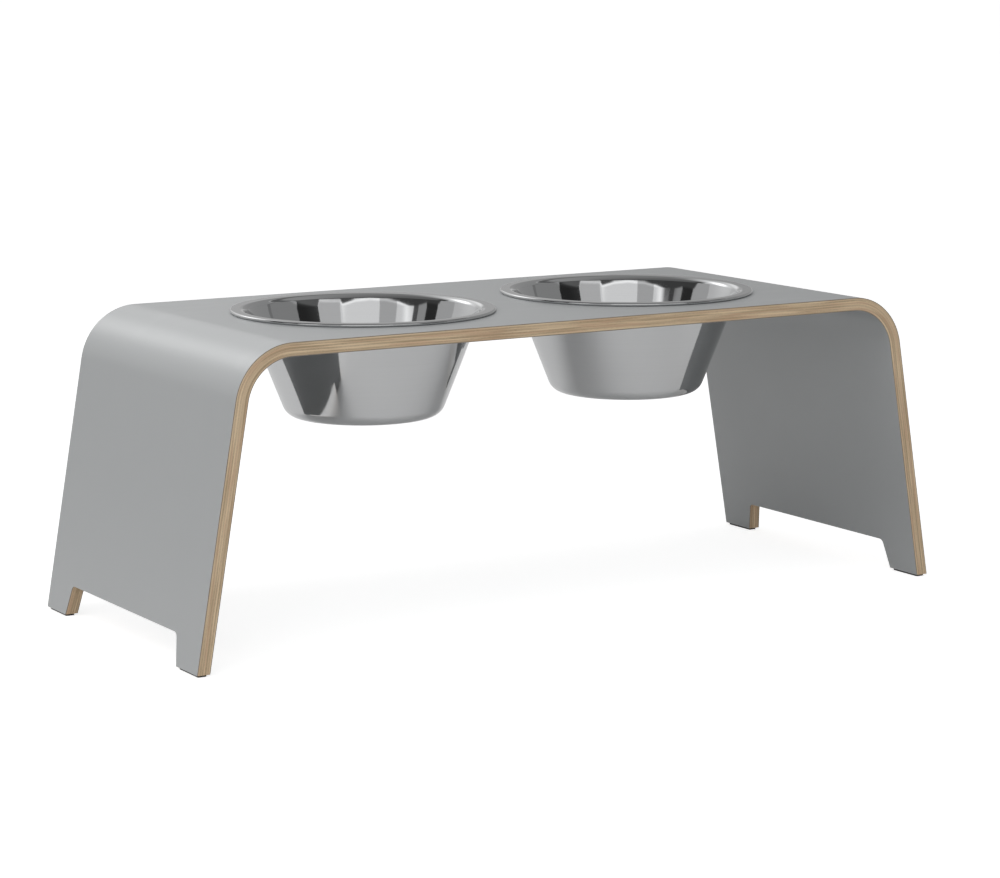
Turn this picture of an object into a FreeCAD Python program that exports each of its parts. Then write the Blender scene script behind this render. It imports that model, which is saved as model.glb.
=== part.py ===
import FreeCAD, Part
import math
import os

# Elevated pet feeder: a bench of moulded plywood that carries two lift-out steel bowls.
# Millimetres. +X runs along the bench, -Y is its front and +Z is up.
# The origin is on the floor, under the middle of the bench.

# Bowls, measured on the outside of the sheet
bowl_mouth_radius = 108.1      # where the wall crosses the bench's top face
bowl_depth = 96.9              # from the bench's top face down to the base
bowl_taper = 20.7              # degrees that the wall leans out from upright
bowl_sheet = 0.8               # thickness of the steel
base_corner_radius = 15.7
flange_width = 13.9            # from the wall, at the bench's top face, to the rim
flange_bend_radius = 6.4       # between the wall and the flange, on their underside
hem_width = 4.5                # how far the rim is folded back under the flange
hem_gap = 1.55                 # left open inside the fold
base_ring_width = 8.0          # flat ring that the bowl stands on when it is lifted out
base_rise = 1.2                # how far the middle of the base stands above that ring
base_step_run = 2.5            # length of the slope between them
base_step_radius = 3.0

# Layout of the bench's top around the bowls
rim_gap = 46.4                 # between the two rims
rim_end_margin = 33.8          # from a rim to the end of the flat top
rim_side_margin = 36.5         # from a rim to the front and back edges
hole_clearance = 3.4           # from a bowl's wall to the edge of its hole

# Bench
bench_height = 280.0           # floor to top face
bend_radius = 56.0             # on the outer face
leg_splay = 9.8                # degrees that each leg leans out from upright

# Layers of the moulded sheet
laminate_thickness = 0.8       # one on each face
veneer_thickness = 1.2
veneer_count = 9

# Feet, which stand on each side of a wide notch in the bottom of the leg
foot_width = 41.3              # along Y, at the bottom
notch_height = 27.8            # above the bottom of the feet
notch_side_slope = 15.2        # degrees from upright
notch_corner_radius = 5.0

# Pads under the feet
pad_thickness = 1.7
adhesive_thickness = 0.3
pad_side_inset = 2.0           # from the two faces of the sheet
pad_end_inset = 2.4            # from the ends of the foot
pad_corner_radius = 1.5

# Sizes that follow from those above
Vector = FreeCAD.Vector
taper = math.radians(bowl_taper)
splay = math.radians(leg_splay)
rim_radius = bowl_mouth_radius + flange_width
hole_radius = bowl_mouth_radius + hole_clearance
bowl_offset = rim_radius + rim_gap / 2
top_half_length = bowl_offset + rim_radius + rim_end_margin
bench_depth = 2 * (rim_radius + rim_side_margin)
sheet_thickness = 2 * laminate_thickness + veneer_count * veneer_thickness
foot_bottom = pad_thickness + adhesive_thickness


def line(start, end):
    """Straight edge."""
    return Part.LineSegment(start, end).toShape()


def closed_face(edges):
    """Flat face inside a closed loop of edges."""
    return Part.Face(Part.Wire(Part.sortEdges(edges)[0]))


def bench_half_outline(depth):
    """Right half of the bench's outline seen from the front, at a depth inside its outer face.

    The points are the end of the flat top, the middle and the end of the bend, and the foot.
    """
    radius = bend_radius - depth
    centre = Vector(top_half_length, 0, bench_height - bend_radius)
    angles = (math.pi / 2, (math.pi / 2 + splay) / 2, splay)
    points = [centre + Vector(radius * math.cos(a), 0, radius * math.sin(a)) for a in angles]
    bend_end = points[-1]
    leg_run = (bend_end.z - foot_bottom) * math.tan(splay)
    points.append(Vector(bend_end.x + leg_run, 0, foot_bottom))
    return points


def mirrored(points):
    """The same points on the bench's left half."""
    return [Vector(-p.x, p.y, p.z) for p in points]


def bench_outline(depth):
    """Edges of the bench's outline from foot to foot, at a depth inside its outer face."""
    edges = []
    right = bench_half_outline(depth)
    left = mirrored(right)
    for top, bend_middle, bend_end, foot in (left, right):
        edges.append(Part.Arc(top, bend_middle, bend_end).toShape())
        edges.append(line(bend_end, foot))
    edges.append(line(left[0], right[0]))
    return edges


def bench_cutters():
    """The two bowl holes, and the notch that goes through both legs."""
    cutters = []
    for side in (-1, 1):
        start = Vector(side * bowl_offset, 0, bench_height - 2 * sheet_thickness)
        cutters.append(Part.makeCylinder(hole_radius, 3 * sheet_thickness, start))
    cutters.append(foot_notch())
    return Part.makeCompound(cutters)


def foot_notch():
    """Bar along X with the shape of the notch, from below the feet to the notch's top."""
    length = 2 * bench_half_outline(0)[-1].x
    top = foot_bottom + notch_height
    low = foot_bottom - notch_height
    slope = math.tan(math.radians(notch_side_slope))
    foot_half_gap = bench_depth / 2 - foot_width
    top_half_gap = foot_half_gap - notch_height * slope
    low_half_gap = foot_half_gap + notch_height * slope
    corners = [
        Vector(-length, -low_half_gap, low),
        Vector(-length, low_half_gap, low),
        Vector(-length, top_half_gap, top),
        Vector(-length, -top_half_gap, top),
    ]
    bar = Part.Face(Part.makePolygon(corners + corners[:1])).extrude(Vector(2 * length, 0, 0))
    top_edges = [e for e in bar.Edges if lies_along_x(e) and e.BoundBox.ZMin > foot_bottom]
    return bar.makeFillet(notch_corner_radius, top_edges)


def lies_along_x(edge):
    """True for an edge that is parallel to X."""
    return edge.BoundBox.XLength > edge.BoundBox.YLength + edge.BoundBox.ZLength


def bench_layer(outer_depth, inner_depth, cutters):
    """One bent layer of the bench, between two depths inside its outer face."""
    outer = bench_half_outline(outer_depth)
    inner = bench_half_outline(inner_depth)
    edges = bench_outline(outer_depth) + bench_outline(inner_depth)
    edges.append(line(outer[-1], inner[-1]))
    edges.append(line(mirrored(outer)[-1], mirrored(inner)[-1]))
    section = closed_face(edges)
    section.translate(Vector(0, -bench_depth / 2, 0))
    return section.extrude(Vector(0, bench_depth, 0)).cut(cutters)


def bench_layers():
    """Every layer of the moulded sheet, from the outer laminate to the inner one."""
    thicknesses = {"outer_laminate": laminate_thickness}
    for number in range(1, veneer_count + 1):
        thicknesses[f"veneer_ply_{number}"] = veneer_thickness
    thicknesses["inner_laminate"] = laminate_thickness
    cutters = bench_cutters()
    layers = {}
    depth = 0.0
    for name, thickness in thicknesses.items():
        layers[name] = bench_layer(depth, depth + thickness, cutters)
        depth += thickness
    return layers


def foot_pads():
    """A pad under each foot, with the film of adhesive that holds it."""
    foot_outer = bench_half_outline(0)[-1].x
    foot_inner = bench_half_outline(sheet_thickness)[-1].x
    width = foot_outer - foot_inner - 2 * pad_side_inset
    length = foot_width - 2 * pad_end_inset
    foot_x = (foot_outer + foot_inner) / 2
    foot_y = (bench_depth - foot_width) / 2
    pads = {}
    for end, side_y in (("front", -1), ("back", 1)):
        for hand, side_x in (("left", -1), ("right", 1)):
            name = f"{end}_{hand}_pad"
            place = Vector(side_x * foot_x, side_y * foot_y, 0)
            above_pad = place + Vector(0, 0, pad_thickness)
            pads[name] = rounded_slab(width, length, pad_thickness, place)
            pads[f"{name}_adhesive"] = rounded_slab(width, length, adhesive_thickness, above_pad)
    return pads


def rounded_slab(width, length, thickness, bottom_centre):
    """Flat slab with rounded upright edges."""
    corner = bottom_centre - Vector(width / 2, length / 2, 0)
    slab = Part.makeBox(width, length, thickness, corner)
    upright = [e for e in slab.Edges if e.BoundBox.XLength + e.BoundBox.YLength < e.BoundBox.ZLength]
    return slab.makeFillet(pad_corner_radius, upright)


def bowl_path():
    """Corners of the bowl's sheet on its outer side, with the radius of the bend at each.

    They run from the middle of the base, up the wall and out along the flange, and then round
    the rim to the end of the hem. The sheet lies on the left of this path.
    """
    base_z = bench_height - bowl_depth
    hem_z = bench_height + bowl_sheet
    flange_z = hem_z + hem_gap
    rim_x = rim_radius - bowl_sheet
    wall_base_x = bowl_mouth_radius - bowl_depth * math.tan(taper)
    wall_top_x = bowl_mouth_radius + (flange_z - bench_height) * math.tan(taper)
    base_corner_run = base_corner_radius * math.tan((math.pi / 2 - taper) / 2)
    ring_inner_x = wall_base_x - base_corner_run - base_ring_width
    corners = [
        (Vector(0, 0, base_z + base_rise), 0),
        (Vector(ring_inner_x - base_step_run, 0, base_z + base_rise), base_step_radius),
        (Vector(ring_inner_x, 0, base_z), base_step_radius + bowl_sheet),
        (Vector(wall_base_x, 0, base_z), base_corner_radius),
        (Vector(wall_top_x, 0, flange_z), flange_bend_radius),
        (Vector(rim_x, 0, flange_z), hem_gap / 2),
        (Vector(rim_x, 0, hem_z), hem_gap / 2),
        (Vector(rim_radius - hem_width, 0, hem_z), 0),
    ]
    return corners


def left_normal(start, end):
    """Unit vector square to a run of the path, on its left when seen from the front."""
    run = (end - start).normalize()
    return Vector(-run.z, 0, run.x)


def shifted_path(corners, distance):
    """The path moved sideways to its left, with each bend still on the same centre."""
    points = [point for point, radius in corners]
    normals = [left_normal(a, b) for a, b in zip(points, points[1:])]
    before = normals[:1] + normals
    after = normals + normals[-1:]
    moved = []
    for (point, radius), first, second in zip(corners, before, after):
        mitre = (first + second) / (1 + first.dot(second))
        turns_left = first.cross(second).y < 0
        new_radius = radius - distance if turns_left else radius + distance
        moved.append((point + mitre * distance, new_radius))
    return moved


def path_edges(corners):
    """Lines along a path with an arc at each of its inner corners."""
    edges = []
    reached = corners[0][0]
    for (before, _), (corner, radius), (after, _) in zip(corners, corners[1:], corners[2:]):
        back = (before - corner).normalize()
        ahead = (after - corner).normalize()
        half_angle = back.getAngle(ahead) / 2
        tangent_length = radius / math.tan(half_angle)
        arc_start = corner + back * tangent_length
        arc_end = corner + ahead * tangent_length
        inward = (back + ahead).normalize()
        arc_middle = corner + inward * (radius / math.sin(half_angle) - radius)
        edges += line_if_long(reached, arc_start)
        edges.append(Part.Arc(arc_start, arc_middle, arc_end).toShape())
        reached = arc_end
    return edges + line_if_long(reached, corners[-1][0])


def line_if_long(start, end):
    """A straight edge in a list, or nothing where two arcs meet with no straight between."""
    if start.distanceToPoint(end) < Part.Precision.confusion() * 10:
        return []
    return [line(start, end)]


def bowl(centre_x):
    """One bowl: a spun sheet with a stepped base, a tapered wall and a hemmed flange."""
    outside = bowl_path()
    inside = shifted_path(outside, bowl_sheet)
    edges = path_edges(outside) + path_edges(inside)
    edges.append(line(outside[0][0], inside[0][0]))
    edges.append(line(outside[-1][0], inside[-1][0]))
    spun = closed_face(edges).revolve(Vector(0, 0, 0), Vector(0, 0, 1), 360)
    spun.translate(Vector(centre_x, 0, 0))
    return spun


def build():
    """Every piece of the feeder by name."""
    pieces = bench_layers()
    pieces["left_bowl"] = bowl(-bowl_offset)
    pieces["right_bowl"] = bowl(bowl_offset)
    pieces.update(foot_pads())
    return pieces


os.makedirs("parts", exist_ok=True)
for node, shape in build().items():
    shape.exportStep(f"parts/{node}.step")
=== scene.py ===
import math

import bmesh
import bpy
from mathutils import Matrix, Vector


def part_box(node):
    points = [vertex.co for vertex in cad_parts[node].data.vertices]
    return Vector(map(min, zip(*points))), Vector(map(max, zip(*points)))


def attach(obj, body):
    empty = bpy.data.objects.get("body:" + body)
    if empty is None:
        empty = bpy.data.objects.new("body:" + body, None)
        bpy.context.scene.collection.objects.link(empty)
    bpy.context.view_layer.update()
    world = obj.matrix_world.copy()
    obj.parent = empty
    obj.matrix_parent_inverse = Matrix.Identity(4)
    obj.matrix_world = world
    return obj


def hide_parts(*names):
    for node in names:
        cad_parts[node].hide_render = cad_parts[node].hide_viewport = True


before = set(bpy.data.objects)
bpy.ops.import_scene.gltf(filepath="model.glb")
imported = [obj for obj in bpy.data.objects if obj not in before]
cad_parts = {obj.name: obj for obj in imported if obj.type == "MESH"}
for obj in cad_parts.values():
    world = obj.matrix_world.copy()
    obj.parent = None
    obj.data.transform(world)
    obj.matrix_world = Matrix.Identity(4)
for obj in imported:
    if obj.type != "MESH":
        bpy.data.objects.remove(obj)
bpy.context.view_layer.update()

# Bench
BENCH_LOW, BENCH_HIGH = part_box("outer_laminate")
TOP = BENCH_HIGH.z
FOOT = BENCH_LOW.z
HALF_DEPTH = BENCH_HIGH.y
BEND_RADIUS = 0.056                 # outer face
LEG_SPLAY = math.radians(9.8)       # from upright
BEND_ANGLE = math.pi / 2 - LEG_SPLAY
BEND_CENTRE_Z = TOP - BEND_RADIUS
BEND_END_Z = BEND_CENTRE_Z + BEND_RADIUS * math.sin(LEG_SPLAY)
LEG_RUN = (BEND_END_Z - FOOT) * math.tan(LEG_SPLAY)
FLAT_END = BENCH_HIGH.x - LEG_RUN - BEND_RADIUS * math.cos(LEG_SPLAY)
BEND_STEPS = 36
EDGE_ROUNDING = 0.00025             # sanded arris on the outer face of each laminate

# Layers of the sheet, from the outer face inwards
VENEER_COUNT = 9
VENEERS = [f"veneer_ply_{number}" for number in range(1, VENEER_COUNT + 1)]
LAYERS = ["outer_laminate", *VENEERS, "inner_laminate"]
LAYER_DEPTHS = [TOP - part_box(node)[1].z for node in LAYERS]
LAMINATE = LAYER_DEPTHS[1]
VENEER = LAYER_DEPTHS[2] - LAYER_DEPTHS[1]
SHEET = LAYER_DEPTHS[-1] + LAMINATE

# Notch between the feet of a leg
FOOT_WIDTH = 0.0413
NOTCH_HEIGHT = 0.0278
NOTCH_SLOPE = math.radians(15.2)    # its sides, from upright
NOTCH_CORNER = 0.005

# Bowls
BOWL_LOW, BOWL_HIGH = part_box("right_bowl")
BOWL_X = (BOWL_LOW.x + BOWL_HIGH.x) / 2
RIM_RADIUS = BOWL_HIGH.y
BOWL_BASE = BOWL_LOW.z
STEEL = 0.0008
MOUTH_RADIUS = 0.1081               # outside of the wall, at the bench's top face
BOWL_TAPER = math.radians(20.7)     # wall, from upright
LOWER_LEAN = math.radians(0.65)     # how much more the lower half of the wall leans
LOWER_BEND = 2.0                    # of that change, at half the bowl's depth
BASE_CORNER = 0.0157
FLARE = math.radians(2.8)           # how much more the top of the wall leans
FLARE_DEPTH = 0.0045                # middle of that change, below the bench's top face
FLARE_BEND = 0.16
FLANGE_BEND = 0.0064                # from the wall to the flange, on the underside
HEM_WIDTH = 0.0045                  # fold of the rim, back under the flange
HEM_HEIGHT = BOWL_HIGH.z - TOP
STEEL_ARRIS = 0.00012
BEND_STEP = math.radians(4)
BASE_RING = 0.008
BASE_RISE = 0.0012
BASE_STEP_RUN = 0.0025
BASE_STEP_BEND = 0.003
BOWL_STEPS = 192
HOLE_RADIUS = 0.1115
HOLE_STEPS = 160

# Half the length of the bar that cuts the notches, past both legs
CUTTER_REACH = 1.0

# Pads
PAD_CORNER = 0.0015
PAD_ARRIS = 0.0003


# Shader node helpers

def add(tree, kind, inputs=None, **settings):
    """A shader node with its settings, and its inputs given as values or as sockets to join."""
    made = tree.nodes.new(kind)
    for name, value in settings.items():
        setattr(made, name, value)
    for key, value in (inputs or {}).items():
        if isinstance(value, bpy.types.NodeSocket):
            tree.links.new(value, made.inputs[key])
        else:
            made.inputs[key].default_value = value
    return made


def calc(tree, operation, first, second=0.0, third=0.0):
    """Result of a sum on numbers or sockets."""
    return add(tree, "ShaderNodeMath", {0: first, 1: second, 2: third}, operation=operation).outputs[0]


def between(tree, value, low, high, to_low=0.0, to_high=1.0):
    """A value's place between two limits, eased at both ends."""
    inputs = {"Value": value, "From Min": low, "From Max": high, "To Min": to_low, "To Max": to_high}
    return add(tree, "ShaderNodeMapRange", inputs, interpolation_type="SMOOTHSTEP").outputs[0]


def scaled(tree, vector, factors):
    """A vector times a factor for each axis."""
    return add(tree, "ShaderNodeVectorMath", {0: vector, 1: factors}, operation="MULTIPLY").outputs[0]


def noise(tree, vector, scale, detail=2.0, roughness=0.5):
    """Cloudy noise from 0 to 1."""
    inputs = {"Vector": vector, "Scale": scale, "Detail": detail, "Roughness": roughness}
    return add(tree, "ShaderNodeTexNoise", inputs).outputs[0]


def blended(tree, factor, first, second):
    """A value between two others."""
    return add(tree, "ShaderNodeMix", {0: factor, 2: first, 3: second}).outputs[0]


def tint(tree, factor, first, second):
    """A colour between two others."""
    mix = tree.nodes.new("ShaderNodeMix")
    mix.data_type = "RGBA"
    sockets = {socket.identifier: socket for socket in mix.inputs}
    for key, value in (("Factor_Float", factor), ("A_Color", first), ("B_Color", second)):
        if isinstance(value, bpy.types.NodeSocket):
            tree.links.new(value, sockets[key])
        elif isinstance(value, float):
            sockets[key].default_value = value
        else:
            sockets[key].default_value = (*value, 1.0)
    return next(socket for socket in mix.outputs if socket.identifier == "Result_Color")


def attribute(tree, name):
    """A vector that is stored on the piece's points."""
    return add(tree, "ShaderNodeAttribute", attribute_name=name).outputs["Vector"]


def new_group(name, inputs, outputs):
    """An empty node group, with its input and output nodes."""
    group = bpy.data.node_groups.new(name, "ShaderNodeTree")
    for socket, kind in inputs.items():
        group.interface.new_socket(socket, in_out="INPUT", socket_type=kind)
    for socket, kind in outputs.items():
        group.interface.new_socket(socket, in_out="OUTPUT", socket_type=kind)
    return group, group.nodes.new("NodeGroupInput"), group.nodes.new("NodeGroupOutput")


def place_group(tree, group, inputs):
    """A group in a material, with its own values."""
    return add(tree, "ShaderNodeGroup", inputs, node_tree=group)


def new_material(name):
    """A material with a bare Principled shader."""
    material = bpy.data.materials.new(name)
    material.use_nodes = True
    tree = material.node_tree
    return material, tree, tree.nodes["Principled BSDF"]


def set_shader(tree, shader, **sockets):
    """Sets or joins the shader's sockets, named with _ for a space."""
    for key, value in sockets.items():
        socket = shader.inputs[key.replace("_", " ")]
        if isinstance(value, bpy.types.NodeSocket):
            tree.links.new(value, socket)
        elif isinstance(value, tuple):
            socket.default_value = (*value, 1.0)
        else:
            socket.default_value = value


def bump(tree, height, strength, distance):
    """A normal from a height."""
    inputs = {"Height": height, "Strength": strength, "Distance": distance}
    return add(tree, "ShaderNodeBump", inputs).outputs[0]


# Effects that several finishes share

def mottle_group():
    """Soft clouds and fine specks, for any moulded or pressed surface."""
    inputs = {
        "Place": "NodeSocketVector",
        "Cloud Scale": "NodeSocketFloat",
        "Speck Scale": "NodeSocketFloat",
    }
    outputs = {"Clouds": "NodeSocketFloat", "Specks": "NodeSocketFloat"}
    group, source, result = new_group("mottle", inputs, outputs)
    place = source.outputs["Place"]
    clouds = noise(group, place, source.outputs["Cloud Scale"], 4.0, 0.55)
    specks = noise(group, place, source.outputs["Speck Scale"], 2.0, 0.6)
    group.links.new(clouds, result.inputs["Clouds"])
    group.links.new(specks, result.inputs["Specks"])
    return group


def handling_group():
    """Faint smears left by hands and a cloth, from 0 to 1."""
    inputs = {"Place": "NodeSocketVector", "Scale": "NodeSocketFloat"}
    group, source, result = new_group("handling_marks", inputs, {"Smears": "NodeSocketFloat"})
    place = source.outputs["Place"]
    scale = source.outputs["Scale"]
    broad = noise(group, place, scale, 3.0, 0.6)
    streaky_place = scaled(group, place, (1.0, 3.5, 1.0))
    streaky = noise(group, streaky_place, calc(group, "MULTIPLY", scale, 2.3), 4.0, 0.65)
    smears = between(group, calc(group, "MULTIPLY", broad, streaky), 0.24, 0.42)
    group.links.new(smears, result.inputs["Smears"])
    return group


def grain_group():
    """Wood grain on the sheet's own coordinates: streaks, pores, changes of tone and warmth, glue lines."""
    inputs = {"Place": "NodeSocketVector", "Stretch": "NodeSocketVector"}
    outputs = {name: "NodeSocketFloat" for name in ("Streaks", "Pores", "Tone", "Warmth", "Glue")}
    group, source, result = new_group("veneer_grain", inputs, outputs)
    place = source.outputs["Place"]
    along_grain = scaled(group, place, source.outputs["Stretch"])
    streaks = noise(group, along_grain, 1.0, 5.0, 0.6)
    fine = noise(group, along_grain, 3.1, 2.0, 0.5)
    tone = noise(group, scaled(group, place, (14.0, 14.0, 480.0)), 1.0, 3.0)
    warmth = noise(group, scaled(group, place, (21.0, 21.0, 390.0)), 1.0, 2.0)
    depth = add(group, "ShaderNodeSeparateXYZ", {0: place}).outputs["Z"]
    layer = calc(group, "FRACT", calc(group, "DIVIDE", calc(group, "SUBTRACT", depth, LAMINATE), VENEER))
    to_face = calc(group, "MINIMUM", layer, calc(group, "SUBTRACT", 1.0, layer))
    values = {
        "Streaks": streaks,
        "Pores": between(group, fine, 0.56, 0.72),
        "Tone": between(group, tone, 0.3, 0.7),
        "Warmth": between(group, warmth, 0.48, 0.66),
        "Glue": between(group, to_face, 0.02, 0.1, 1.0, 0.0),
    }
    for name, value in values.items():
        group.links.new(value, result.inputs[name])
    return group


MOTTLE = mottle_group()
HANDLING = handling_group()
GRAIN = grain_group()


# Finishes

HEARTWOOD = (0.68, 0.44, 0.28)      # warmer patches in the veneers


def laminate_face():
    """Satin grey face of the laminate."""
    material, tree, shader = new_material("grey_laminate_face")
    place = attribute(tree, "sheet_place")
    mottle = place_group(tree, MOTTLE, {"Place": place, "Cloud Scale": 7.0, "Speck Scale": 1500.0})
    smears = place_group(tree, HANDLING, {"Place": place, "Scale": 6.0}).outputs["Smears"]
    clouds = mottle.outputs["Clouds"]
    specks = mottle.outputs["Specks"]
    shade = calc(tree, "ADD", calc(tree, "MULTIPLY", clouds, 0.6), calc(tree, "MULTIPLY", specks, 0.4))
    colour = tint(tree, shade, (0.372, 0.384, 0.389), (0.402, 0.415, 0.42))
    across = calc(tree, "ABSOLUTE", add(tree, "ShaderNodeSeparateXYZ", {0: place}).outputs["Y"])
    rubbed = calc(tree, "MULTIPLY", between(tree, across, HALF_DEPTH - 0.0012, HALF_DEPTH), specks)
    colour = tint(tree, calc(tree, "MULTIPLY", rubbed, 0.35), colour, (0.5, 0.505, 0.5))
    rough = calc(tree, "MULTIPLY_ADD", specks, 0.06, 0.29)
    rough = calc(tree, "MULTIPLY_ADD", smears, -0.035, rough)
    normal = bump(tree, specks, 0.12, 0.00004)
    set_shader(tree, shader, Base_Color=colour, Roughness=rough, Normal=normal, IOR=1.85)
    return material


def laminate_core():
    """Dark brown pressed core that shows on the cut edge of the laminate."""
    material, tree, shader = new_material("brown_laminate_core")
    place = attribute(tree, "sheet_place")
    mottle = place_group(tree, MOTTLE, {"Place": place, "Cloud Scale": 40.0, "Speck Scale": 2600.0})
    shade = calc(tree, "MULTIPLY", mottle.outputs["Clouds"], mottle.outputs["Specks"])
    colour = tint(tree, between(tree, shade, 0.1, 0.4), (0.26, 0.205, 0.15), (0.4, 0.325, 0.25))
    rough = calc(tree, "MULTIPLY_ADD", mottle.outputs["Specks"], 0.2, 0.45)
    normal = bump(tree, mottle.outputs["Specks"], 0.3, 0.00005)
    set_shader(tree, shader, Base_Color=colour, Roughness=rough, Normal=normal)
    return material


def veneer(name, stretch, light, dark, pore_depth):
    """Oiled veneer with its grain stretched one way along the sheet."""
    material, tree, shader = new_material(name)
    grain = place_group(tree, GRAIN, {"Place": attribute(tree, "sheet_place"), "Stretch": stretch})
    streaks = grain.outputs["Streaks"]
    pores = grain.outputs["Pores"]
    shade = calc(tree, "MULTIPLY_ADD", grain.outputs["Tone"], 0.5, calc(tree, "MULTIPLY", streaks, 0.6))
    colour = tint(tree, between(tree, shade, 0.25, 0.85), light, dark)
    colour = tint(tree, calc(tree, "MULTIPLY", grain.outputs["Warmth"], 0.5), colour, HEARTWOOD)
    darker = tuple(0.45 * part for part in dark)
    colour = tint(tree, calc(tree, "MULTIPLY", pores, pore_depth), colour, darker)
    colour = tint(tree, calc(tree, "MULTIPLY", grain.outputs["Glue"], 0.35), colour, darker)
    rough = calc(tree, "MULTIPLY_ADD", streaks, 0.2, 0.42)
    height = calc(tree, "SUBTRACT", streaks, calc(tree, "MULTIPLY", pores, 0.8))
    normal = bump(tree, height, 0.35, 0.00012)
    set_shader(tree, shader, Base_Color=colour, Roughness=rough, Normal=normal)
    return material


def bowl_steel():
    """Polished spun steel, with faint rings left by the spinning and a few smears."""
    material, tree, shader = new_material("polished_bowl_steel")
    place = attribute(tree, "bowl_place")
    parts = add(tree, "ShaderNodeSeparateXYZ", {0: place})
    flat_place = scaled(tree, place, (1.0, 1.0, 0.0))
    radius = add(tree, "ShaderNodeVectorMath", {0: flat_place}, operation="LENGTH").outputs["Value"]
    ring_place = add(tree, "ShaderNodeCombineXYZ", {"X": radius, "Y": parts.outputs["Z"]}).outputs[0]
    rings = noise(tree, ring_place, 1900.0, 3.0, 0.7)
    smears = place_group(tree, HANDLING, {"Place": place, "Scale": 14.0}).outputs["Smears"]
    rough = calc(tree, "MULTIPLY_ADD", rings, 0.035, 0.035)
    rough = calc(tree, "MULTIPLY_ADD", smears, 0.03, rough)
    colour = tint(tree, rings, (0.5, 0.505, 0.51), (0.56, 0.565, 0.57))
    normal = bump(tree, rings, 0.04, 0.00002)
    set_shader(tree, shader, Base_Color=colour, Roughness=rough, Metallic=1.0, Normal=normal)
    return material


def pad_rubber():
    """Dark matt rubber with a fine moulded grain."""
    material, tree, shader = new_material("dark_pad_rubber")
    place = add(tree, "ShaderNodeTexCoord").outputs["Object"]
    mottle = place_group(tree, MOTTLE, {"Place": place, "Cloud Scale": 120.0, "Speck Scale": 1800.0})
    shade = calc(tree, "MULTIPLY", mottle.outputs["Clouds"], mottle.outputs["Specks"])
    colour = tint(tree, between(tree, shade, 0.1, 0.42), (0.018, 0.018, 0.019), (0.046, 0.046, 0.048))
    rough = calc(tree, "MULTIPLY_ADD", mottle.outputs["Specks"], 0.25, 0.6)
    normal = bump(tree, mottle.outputs["Specks"], 0.4, 0.0001)
    set_shader(tree, shader, Base_Color=colour, Roughness=rough, Normal=normal)
    return material


def pad_film():
    """Thin film of clear grey adhesive."""
    material, tree, shader = new_material("pad_adhesive_film")
    place = add(tree, "ShaderNodeTexCoord").outputs["Object"]
    mottle = place_group(tree, MOTTLE, {"Place": place, "Cloud Scale": 300.0, "Speck Scale": 3000.0})
    colour = tint(tree, mottle.outputs["Clouds"], (0.05, 0.05, 0.05), (0.09, 0.088, 0.085))
    rough = calc(tree, "MULTIPLY_ADD", mottle.outputs["Specks"], 0.2, 0.35)
    normal = bump(tree, mottle.outputs["Specks"], 0.2, 0.00005)
    set_shader(tree, shader, Base_Color=colour, Roughness=rough, Normal=normal)
    return material


LAMINATE_FACE = laminate_face()
LAMINATE_CORE = laminate_core()
VENEER_ALONG = veneer("veneer_along", (7.0, 900.0, 1300.0), (0.9, 0.71, 0.48), (0.62, 0.46, 0.29), 0.25)
VENEER_ACROSS = veneer("veneer_across", (420.0, 7.0, 1300.0), (0.8, 0.62, 0.41), (0.5, 0.36, 0.22), 0.4)
BOWL_STEEL = bowl_steel()
PAD_RUBBER = pad_rubber()
PAD_FILM = pad_film()


# Pieces

def finish_piece(name, bm, materials, body, node):
    """Turns a bmesh into a piece that rides on a body and stands for a CAD node."""
    mesh = bpy.data.meshes.new(name)
    bm.to_mesh(mesh)
    bm.free()
    for material in materials:
        mesh.materials.append(material)
    piece = bpy.data.objects.new(name, mesh)
    bpy.context.scene.collection.objects.link(piece)
    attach(piece, body)
    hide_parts(node)
    return piece


def smooth_shading(piece, sharp_angle):
    """Smooth shading that keeps flat faces flat and sharp edges sharp."""
    piece.data.shade_smooth()
    piece.data.set_sharp_from_angle(angle=sharp_angle)
    weighted = piece.modifiers.new("even_shading", "WEIGHTED_NORMAL")
    weighted.keep_sharp = True
    weighted.weight = 100


def store_places(piece, name, place_of):
    """Stores a vector on each point of a piece, for its finish to read."""
    stored = piece.data.attributes.new(name, "FLOAT_VECTOR", "POINT")
    for point, item in zip(piece.data.vertices, stored.data):
        item.vector = place_of(point.co)


def extrude_edges(bm, edges, shift):
    """Draws a strip of faces from a chain of edges, and returns the far chain."""
    made = bmesh.ops.extrude_edge_only(bm, edges=edges)["geom"]
    points = [item for item in made if isinstance(item, bmesh.types.BMVert)]
    bmesh.ops.translate(bm, verts=points, vec=shift)
    made_edges = [item for item in made if isinstance(item, bmesh.types.BMEdge)]
    return [edge for edge in made_edges if set(edge.verts) <= set(points)]


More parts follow.
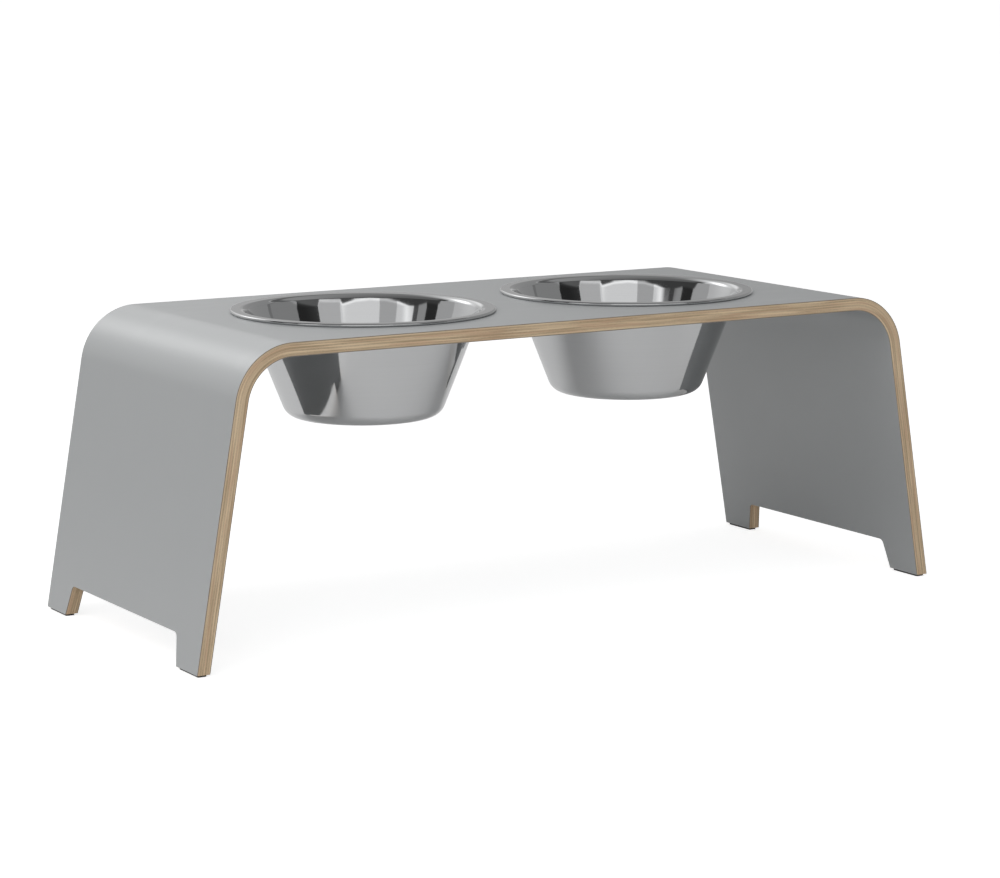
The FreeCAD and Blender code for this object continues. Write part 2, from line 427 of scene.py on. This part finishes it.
def bent_sheet(outer_depth, inner_depth):
    """A bent sheet between two depths inside the bench's outer face, with no holes in it yet."""
    bm = bmesh.new()
    corners = [
        (-HALF_DEPTH, outer_depth),
        (HALF_DEPTH, outer_depth),
        (HALF_DEPTH, inner_depth),
        (-HALF_DEPTH, inner_depth),
    ]
    ring = [bm.verts.new((0, y, TOP - depth)) for y, depth in corners]
    edges = [bm.edges.new(pair) for pair in zip(ring, ring[1:] + ring[:1])]
    edges = extrude_edges(bm, edges, (FLAT_END, 0, 0))
    points = list({point for edge in edges for point in edge.verts})
    bend = bmesh.ops.spin(
        bm, geom=points + edges, cent=(FLAT_END, 0, BEND_CENTRE_Z), axis=(0, 1, 0),
        angle=BEND_ANGLE, steps=BEND_STEPS, use_merge=False)
    edges = [item for item in bend["geom_last"] if isinstance(item, bmesh.types.BMEdge)]
    leg_length = (BEND_END_Z - FOOT) / math.cos(LEG_SPLAY) + SHEET
    extrude_edges(bm, edges, Vector((math.sin(LEG_SPLAY), 0, -math.cos(LEG_SPLAY))) * leg_length)
    everything = bm.verts[:] + bm.edges[:] + bm.faces[:]
    cut = bmesh.ops.bisect_plane(
        bm, geom=everything, plane_co=(0, 0, FOOT), plane_no=(0, 0, -1), clear_outer=True)
    rim = [item for item in cut["geom_cut"] if isinstance(item, bmesh.types.BMEdge)]
    bmesh.ops.edgeloop_fill(bm, edges=rim)
    bmesh.ops.mirror(bm, geom=bm.verts[:] + bm.edges[:] + bm.faces[:], axis="X", merge_dist=1e-6)
    bmesh.ops.recalc_face_normals(bm, faces=bm.faces)
    return bm


def bench_cutter():
    """The two bowl holes, and a bar with the shape of the notch between the feet."""
    bm = bmesh.new()
    for x in (-BOWL_X, BOWL_X):
        bmesh.ops.create_cone(
            bm, cap_ends=True, segments=HOLE_STEPS, radius1=HOLE_RADIUS, radius2=HOLE_RADIUS,
            depth=6 * SHEET, matrix=Matrix.Translation((x, 0, TOP)))
    lean = math.tan(NOTCH_SLOPE)
    gap = HALF_DEPTH - FOOT_WIDTH
    outline = [
        (-gap - NOTCH_HEIGHT * lean, FOOT - NOTCH_HEIGHT),
        (gap + NOTCH_HEIGHT * lean, FOOT - NOTCH_HEIGHT),
        (gap - NOTCH_HEIGHT * lean, FOOT + NOTCH_HEIGHT),
        (-gap + NOTCH_HEIGHT * lean, FOOT + NOTCH_HEIGHT),
    ]
    end = bm.faces.new([bm.verts.new((-CUTTER_REACH, y, z)) for y, z in outline])
    top_corners = list(end.verts)[2:]
    corner_run = NOTCH_CORNER * math.tan((math.pi / 2 - NOTCH_SLOPE) / 2)
    bmesh.ops.bevel(
        bm, geom=top_corners, offset=corner_run, offset_type="OFFSET", segments=8, profile=0.5,
        affect="VERTICES", material=-1)
    end = next(face for face in bm.faces if all(point.co.x == -CUTTER_REACH for point in face.verts))
    bar = bmesh.ops.extrude_face_region(bm, geom=[end])["geom"]
    far_corners = [item for item in bar if isinstance(item, bmesh.types.BMVert)]
    bmesh.ops.translate(bm, verts=far_corners, vec=(2 * CUTTER_REACH, 0, 0))
    bmesh.ops.recalc_face_normals(bm, faces=bm.faces)
    mesh = bpy.data.meshes.new("bench_cutter")
    bm.to_mesh(mesh)
    bm.free()
    cutter = bpy.data.objects.new("bench_cutter", mesh)
    bpy.context.scene.collection.objects.link(cutter)
    return cutter


def cut_sheet(bm, cutter):
    """The sheet with the holes and notches cut out of it."""
    mesh = bpy.data.meshes.new("uncut_sheet")
    bm.to_mesh(mesh)
    blank = bpy.data.objects.new("uncut_sheet", mesh)
    bpy.context.scene.collection.objects.link(blank)
    cut = blank.modifiers.new("holes", "BOOLEAN")
    cut.operation = "DIFFERENCE"
    cut.solver = "EXACT"
    cut.object = cutter
    bpy.context.view_layer.update()
    done = blank.evaluated_get(bpy.context.evaluated_depsgraph_get())
    bm.clear()
    bm.from_mesh(done.to_mesh())
    done.to_mesh_clear()
    bpy.data.objects.remove(blank)
    bpy.data.meshes.remove(mesh)
    return bm


def sheet_place(point):
    """Where a point of the bench lies on its sheet before bending: along, across and depth."""
    from_centre = Vector((max(abs(point.x) - FLAT_END, 0.0), point.z - BEND_CENTRE_Z))
    angle = min(math.atan2(from_centre.x, from_centre.y), BEND_ANGLE)
    outward = Vector((math.sin(angle), math.cos(angle)))
    downward = Vector((math.cos(angle), -math.sin(angle)))
    along = min(abs(point.x), FLAT_END) + BEND_RADIUS * angle + from_centre.dot(downward)
    depth = BEND_RADIUS - from_centre.dot(outward)
    return math.copysign(along, point.x), point.y, depth


def is_broad(depths):
    """True where a face's corners lie at one depth of the sheet, so it isn't a cut edge."""
    return max(depths) - min(depths) < LAMINATE / 4


def mark_laminate(bm, face_depth):
    """Rounds the arris of a laminate's open face and gives its cut edges the core's finish."""
    def depth(point):
        return sheet_place(point.co)[2]

    arris = []
    for edge in bm.edges:
        on_face = all(abs(depth(point) - face_depth) < LAMINATE / 4 for point in edge.verts)
        if on_face and edge.calc_face_angle(0.0) > math.radians(50):
            arris.append(edge)
    for face in bm.faces:
        face.material_index = 0 if is_broad([depth(point) for point in face.verts]) else 1
    bmesh.ops.bevel(
        bm, geom=arris, offset=EDGE_ROUNDING, offset_type="OFFSET", segments=2, profile=0.5,
        affect="EDGES", material=-1, clamp_overlap=True)


def build_bench():
    """Every layer of the bench."""
    cutter = bench_cutter()
    depths = LAYER_DEPTHS + [SHEET]
    for number, node in enumerate(LAYERS):
        bm = cut_sheet(bent_sheet(depths[number], depths[number + 1]), cutter)
        if node in VENEERS:
            along = VENEERS.index(node) % 2 == 0
            materials = [VENEER_ALONG if along else VENEER_ACROSS]
        else:
            mark_laminate(bm, depths[number] if node == "outer_laminate" else depths[number + 1])
            materials = [LAMINATE_FACE, LAMINATE_CORE]
        piece = finish_piece(f"bench_{node}", bm, materials, "bench", node)
        store_places(piece, "sheet_place", sheet_place)
        smooth_shading(piece, math.radians(30))
    bpy.data.objects.remove(cutter)


def left_of(start, end):
    """Unit vector square to a run of an outline, on its left."""
    run = (end - start).normalized()
    return Vector((-run.y, run.x))


def bowl_outside():
    """Corners of the outer side of a bowl's steel, from the middle of the base to the end of the hem.

    Each is a point, with its distance from the bowl's axis and its height, and the radius of its bend.
    """
    half_depth = (TOP - BOWL_BASE) / 2
    wall_middle = Vector((MOUTH_RADIUS - half_depth * math.tan(BOWL_TAPER), TOP - half_depth))
    wall_base = wall_middle.x - half_depth * math.tan(BOWL_TAPER + LOWER_LEAN)
    ring = wall_base - BASE_CORNER * math.tan((math.pi / 2 - BOWL_TAPER) / 2) - BASE_RING
    flare = Vector((MOUTH_RADIUS - FLARE_DEPTH * math.tan(BOWL_TAPER), TOP - FLARE_DEPTH))
    flange = TOP + HEM_HEIGHT - STEEL
    wall_top = flare.x + (flange - flare.y) * math.tan(BOWL_TAPER + FLARE)
    hem_bend = HEM_HEIGHT / 2 - STEEL
    return [
        (Vector((0.0, BOWL_BASE + BASE_RISE)), 0.0),
        (Vector((ring - BASE_STEP_RUN, BOWL_BASE + BASE_RISE)), BASE_STEP_BEND),
        (Vector((ring, BOWL_BASE)), BASE_STEP_BEND + STEEL),
        (Vector((wall_base, BOWL_BASE)), BASE_CORNER),
        (wall_middle, LOWER_BEND),
        (flare, FLARE_BEND),
        (Vector((wall_top, flange)), FLANGE_BEND),
        (Vector((RIM_RADIUS - STEEL, flange)), hem_bend),
        (Vector((RIM_RADIUS - STEEL, TOP + STEEL)), hem_bend),
        (Vector((RIM_RADIUS - HEM_WIDTH, TOP + STEEL)), STEEL_ARRIS),
    ]


def bowl_inside(outside):
    """Corners of the inner side, back from the end of the hem, with each bend on the same centre."""
    corners = [(outside[0][0] + Vector((0.0, STEEL)), 0.0)]
    for (before, _), (corner, bend), (after, _) in zip(outside, outside[1:], outside[2:]):
        first = left_of(before, corner)
        second = left_of(corner, after)
        shift = (first + second) * STEEL / (1 + first.dot(second))
        corners.append((corner + shift, bend - STEEL if first.cross(second) > 0 else bend + STEEL))
    corners.append((Vector((RIM_RADIUS - HEM_WIDTH, TOP)), STEEL_ARRIS))
    return corners[::-1]


def draw_outline(bm, corners):
    """Wire in the XZ plane from the first corner to the last, with a round bend at each one between."""
    place, _ = corners[0]
    pen = bm.verts.new((place.x, 0, place.y))
    for (before, _), (corner, bend), (after, _) in zip(corners, corners[1:], corners[2:]):
        ahead = (corner - before).normalized()
        side = left_of(before, corner)
        turn = ahead.angle_signed(after - corner)
        bend_start = corner - ahead * bend * math.tan(abs(turn) / 2)
        centre = bend_start - side * math.copysign(bend, turn)
        pen = draw_run(bm, pen, bend_start)
        steps = max(3, math.ceil(abs(turn) / BEND_STEP))
        arc = bmesh.ops.spin(
            bm, geom=[pen], cent=(centre.x, 0, centre.y), axis=(0, 1, 0),
            angle=turn, steps=steps, use_merge=False)["geom_last"]
        pen = next(item for item in arc if isinstance(item, bmesh.types.BMVert))
    draw_run(bm, pen, corners[-1][0])


def draw_run(bm, pen, place):
    """Straight edge from a point to a place, whose new point is returned."""
    end = bmesh.ops.extrude_vert_indiv(bm, verts=[pen])["verts"][0]
    bmesh.ops.translate(bm, verts=[end], vec=Vector((place.x, 0, place.y)) - end.co)
    return end


def build_bowl(hand, centre_x):
    """One bowl, spun from the closed outline of its steel."""
    bm = bmesh.new()
    outside = bowl_outside()
    draw_outline(bm, outside + bowl_inside(outside))
    bmesh.ops.spin(
        bm, geom=bm.verts[:] + bm.edges[:], cent=(0, 0, 0), axis=(0, 0, 1),
        angle=2 * math.pi, steps=BOWL_STEPS, use_merge=True)
    bmesh.ops.remove_doubles(bm, verts=bm.verts, dist=1e-6)
    bmesh.ops.recalc_face_normals(bm, faces=bm.faces)
    bmesh.ops.translate(bm, verts=bm.verts, vec=(centre_x, 0, 0))
    node = f"{hand}_bowl"
    piece = finish_piece(f"{hand}_steel_bowl", bm, [BOWL_STEEL], node, node)
    store_places(piece, "bowl_place", lambda point: (point.x - centre_x, point.y, point.z - TOP))
    smooth_shading(piece, math.radians(40))


def build_pad(node):
    """One foot pad, with rounded corners and a softened lower edge."""
    low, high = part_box(node)
    size = high - low
    bm = bmesh.new()
    place = Matrix.Translation((low + high) / 2) @ Matrix.Diagonal((*size, 1.0))
    bmesh.ops.create_cube(bm, size=1.0, matrix=place)
    upright = [edge for edge in bm.edges if abs(edge.verts[0].co.z - edge.verts[1].co.z) > size.z / 2]
    bmesh.ops.bevel(
        bm, geom=upright, offset=PAD_CORNER, offset_type="OFFSET", segments=6, profile=0.5,
        affect="EDGES", material=-1)
    bottom = [
        edge for edge in bm.edges
        if all(abs(point.co.z - low.z) < PAD_ARRIS / 4 for point in edge.verts)
    ]
    bmesh.ops.bevel(
        bm, geom=bottom, offset=PAD_ARRIS, offset_type="OFFSET", segments=3, profile=0.5,
        affect="EDGES", material=-1)
    piece = finish_piece(f"{node}_rubber", bm, [PAD_RUBBER], "bench", node)
    smooth_shading(piece, math.radians(40))


def build_feet():
    """The pads, and the finish of the film that holds each of them."""
    for end in ("front", "back"):
        for hand in ("left", "right"):
            node = f"{end}_{hand}_pad"
            build_pad(node)
            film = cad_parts[f"{node}_adhesive"]
            film.data.materials.clear()
            film.data.materials.append(PAD_FILM)


# Studio

CAMERA_PLACE = (-1.4732, -2.3919, 0.6166)
CAMERA_AZIMUTH = math.radians(-31.666)
CAMERA_ELEVATION = math.radians(9.469)
CAMERA_LENS = 108.05
FLOOR_HALF = 150.0
FLOOR_TONE = (0.62, 0.62, 0.62)
MIRRORED_TONE = (1.0, 1.0, 1.0)     # floor as the steel shows it
FLOOR_GLOW = 0.75                   # what makes it white to the camera
MIRRORED_GLOW = 0.06
# Soft lamps: place, power and the lengths of the sides
LAMPS = {
    "overhead_softbox": ((-0.8, -0.5, 2.4), 22.0, (2.2, 1.8)),
    "left_softbox": ((-2.0, 0.0, 1.4), 7.2, (1.2, 1.2)),
}
# Studio room. Places round it are in degrees from the front to the right.
# Where each panel of the walls starts, and its brightness:
WALLS = [
    (-180, 0.75), (-140, 0.55), (-118, 0.035), (-103, 0.42), (-94, 0.12), (-88, 0.98),
    (-68, 0.6), (-48, 1.05), (-4, 0.7), (22, 0.03), (47, 0.34), (82, 0.25),
    (86, 0.38), (128, 0.36), (145, 0.44), (151, 0.46), (158, 0.67),
]
# How many degrees up the walls reach, at places round the room:
WALL_TOPS = [
    (-180, 45), (-150, 41), (-135, 35), (-118, 26), (-103, 30), (-89, 30), (-82, 31), (-70, 35.2),
    (-56, 38.4), (-37, 40), (-20, 38.8), (-5, 35.2), (-3, 38), (21, 36), (23, 31), (47, 30), (60, 31),
    (90, 36), (128, 42), (180, 45),
]
WALL_EDGE = 0.8                     # degrees, half the soft edge at the top of the walls
HOT_TOP = 1.6                       # times brighter just under that edge, but not at the back
HOT_BAND = (-2.4, -0.6)             # degrees from the edge, where that starts and is full
HOT_MIDDLE = math.radians(20)       # place round the room
HOT_REACH = (1.75, 1.95)            # radians either way from there, where it fades
CEILING = (0.18, 0.42)              # left and right
CEILING_DIM = 0.4                   # share of that near the walls
CEILING_RISE = (6.0, 12.0)          # degrees above the walls, where it grows to the whole
LOW_LIGHT = 0.55                    # near the floor, all round
LOW_BAND = (3, 6)                   # degrees up, where that fades
# Soft round windows at the back, in degrees: place round the room, place up, radius and brightness
WINDOWS = [(160, 19, 13, 1.1), (-172, 33, 30, 1.15), (-170, 32, 14, 2.6)]


def build_floor():
    """Plain pale floor that shows as white and keeps the feeder's shadow."""
    bm = bmesh.new()
    bmesh.ops.create_grid(bm, x_segments=1, y_segments=1, size=FLOOR_HALF)
    mesh = bpy.data.meshes.new("floor")
    bm.to_mesh(mesh)
    bm.free()
    floor = bpy.data.objects.new("floor", mesh)
    bpy.context.scene.collection.objects.link(floor)
    material = bpy.data.materials.new("pale_floor")
    material.use_nodes = True
    tree = material.node_tree
    tree.nodes.clear()
    path = add(tree, "ShaderNodeLightPath")
    seen = calc(tree, "MAXIMUM", path.outputs["Is Camera Ray"], path.outputs["Is Transmission Ray"])
    mirrored = path.outputs["Is Glossy Ray"]
    strength = calc(tree, "MULTIPLY", seen, FLOOR_GLOW)
    strength = calc(tree, "MULTIPLY_ADD", mirrored, MIRRORED_GLOW, strength)
    pale = tint(tree, mirrored, FLOOR_TONE, MIRRORED_TONE)
    lit = add(tree, "ShaderNodeBsdfDiffuse", {"Color": pale})
    glow = add(tree, "ShaderNodeEmission", {"Strength": strength})
    both = add(tree, "ShaderNodeAddShader", {0: lit.outputs[0], 1: glow.outputs[0]})
    add(tree, "ShaderNodeOutputMaterial", {"Surface": both.outputs[0]})
    mesh.materials.append(material)


def round_room(tree, azimuth, stops, change):
    """A value that changes with the direction round the object, from the places where it is given."""
    ramp = tree.nodes.new("ShaderNodeValToRGB")
    ramp.color_ramp.interpolation = change
    marks = ramp.color_ramp.elements
    marks.remove(marks[1])
    for number, (turn, value) in enumerate(stops):
        place = (turn + 180) / 360
        mark = marks[0] if number == 0 else marks.new(place)
        mark.position = place
        mark.color = (value, value, value, 1.0)
    turn = calc(tree, "MULTIPLY_ADD", azimuth, 1 / (2 * math.pi), 0.5)
    tree.links.new(turn, ramp.inputs["Fac"])
    return add(tree, "ShaderNodeSeparateColor", {0: ramp.outputs["Color"]}).outputs[0]


def build_world():
    """Studio room: white to the camera, with light and dark panels, a dim ceiling and soft windows."""
    world = bpy.data.worlds.new("studio_room")
    bpy.context.scene.world = world
    world.use_nodes = True
    tree = world.node_tree
    direction = add(tree, "ShaderNodeTexCoord").outputs["Generated"]
    parts = add(tree, "ShaderNodeSeparateXYZ", {0: direction}).outputs
    azimuth = calc(tree, "ARCTAN2", parts["X"], calc(tree, "MULTIPLY", parts["Y"], -1.0))
    rise = calc(tree, "MULTIPLY", calc(tree, "ARCSINE", parts["Z"]), 2 / math.pi)
    tops = [(turn, top / 90) for turn, top in WALL_TOPS]
    above = calc(tree, "SUBTRACT", rise, round_room(tree, azimuth, tops, "LINEAR"))
    above = calc(tree, "MULTIPLY", above, 90.0)
    wall = round_room(tree, azimuth, WALLS, "CONSTANT")
    from_hot = calc(tree, "ABSOLUTE", calc(tree, "SUBTRACT", azimuth, HOT_MIDDLE))
    hot = between(tree, from_hot, *HOT_REACH, HOT_TOP, 1.0)
    wall = calc(tree, "MULTIPLY", wall, between(tree, above, *HOT_BAND, 1.0, hot))
    ceiling = between(tree, parts["X"], -0.7, 0.7, *CEILING)
    ceiling = calc(tree, "MULTIPLY", ceiling, between(tree, above, *CEILING_RISE, CEILING_DIM, 1.0))
    light = blended(tree, between(tree, above, -WALL_EDGE, WALL_EDGE), wall, ceiling)
    for turn, up, radius, brightness in WINDOWS:
        turned = Matrix.Rotation(math.radians(turn), 3, "Z") @ Matrix.Rotation(math.radians(-up), 3, "X")
        middle = turned @ Vector((0, -1, 0))
        facing = add(tree, "ShaderNodeVectorMath", {0: direction, 1: middle}, operation="DOT_PRODUCT")
        away = calc(tree, "ARCCOSINE", facing.outputs["Value"])
        window = between(tree, away, math.radians(radius / 4), math.radians(radius), 1.0, 0.0)
        light = blended(tree, window, light, brightness)
    low = between(tree, rise, LOW_BAND[0] / 90, LOW_BAND[1] / 90, 1.0, 0.0)
    light = blended(tree, low, light, LOW_LIGHT)
    path = add(tree, "ShaderNodeLightPath").outputs
    seen = calc(tree, "MAXIMUM", path["Is Camera Ray"], path["Is Transmission Ray"])
    light = blended(tree, seen, light, 1.0)
    background = tree.nodes["Background"]
    tree.links.new(light, background.inputs["Strength"])
    background.inputs["Color"].default_value = (1.0, 1.0, 1.0, 1.0)


def build_lamps():
    """Large soft lamps that point at the feeder, out of sight of the polished steel."""
    for name, (place, power, sides) in LAMPS.items():
        lamp = bpy.data.lights.new(name, "AREA")
        lamp.shape = "RECTANGLE"
        lamp.size, lamp.size_y = sides
        lamp.energy = power
        stand = bpy.data.objects.new(name, lamp)
        stand.location = place
        stand.rotation_euler = Vector(place).to_track_quat("Z", "Y").to_euler()
        stand.visible_camera = False
        stand.visible_glossy = False
        bpy.context.scene.collection.objects.link(stand)


def build_camera():
    """Camera at the photograph's angle."""
    data = bpy.data.cameras.new("camera")
    data.lens = CAMERA_LENS
    camera = bpy.data.objects.new("camera", data)
    camera.location = CAMERA_PLACE
    camera.rotation_euler = (math.pi / 2 - CAMERA_ELEVATION, 0, CAMERA_AZIMUTH)
    bpy.context.scene.collection.objects.link(camera)
    bpy.context.scene.camera = camera


build_bench()
build_bowl("left", -BOWL_X)
build_bowl("right", BOWL_X)
build_feet()
build_floor()
build_world()
build_lamps()
build_camera()
bpy.context.scene.view_settings.view_transform = "Standard"
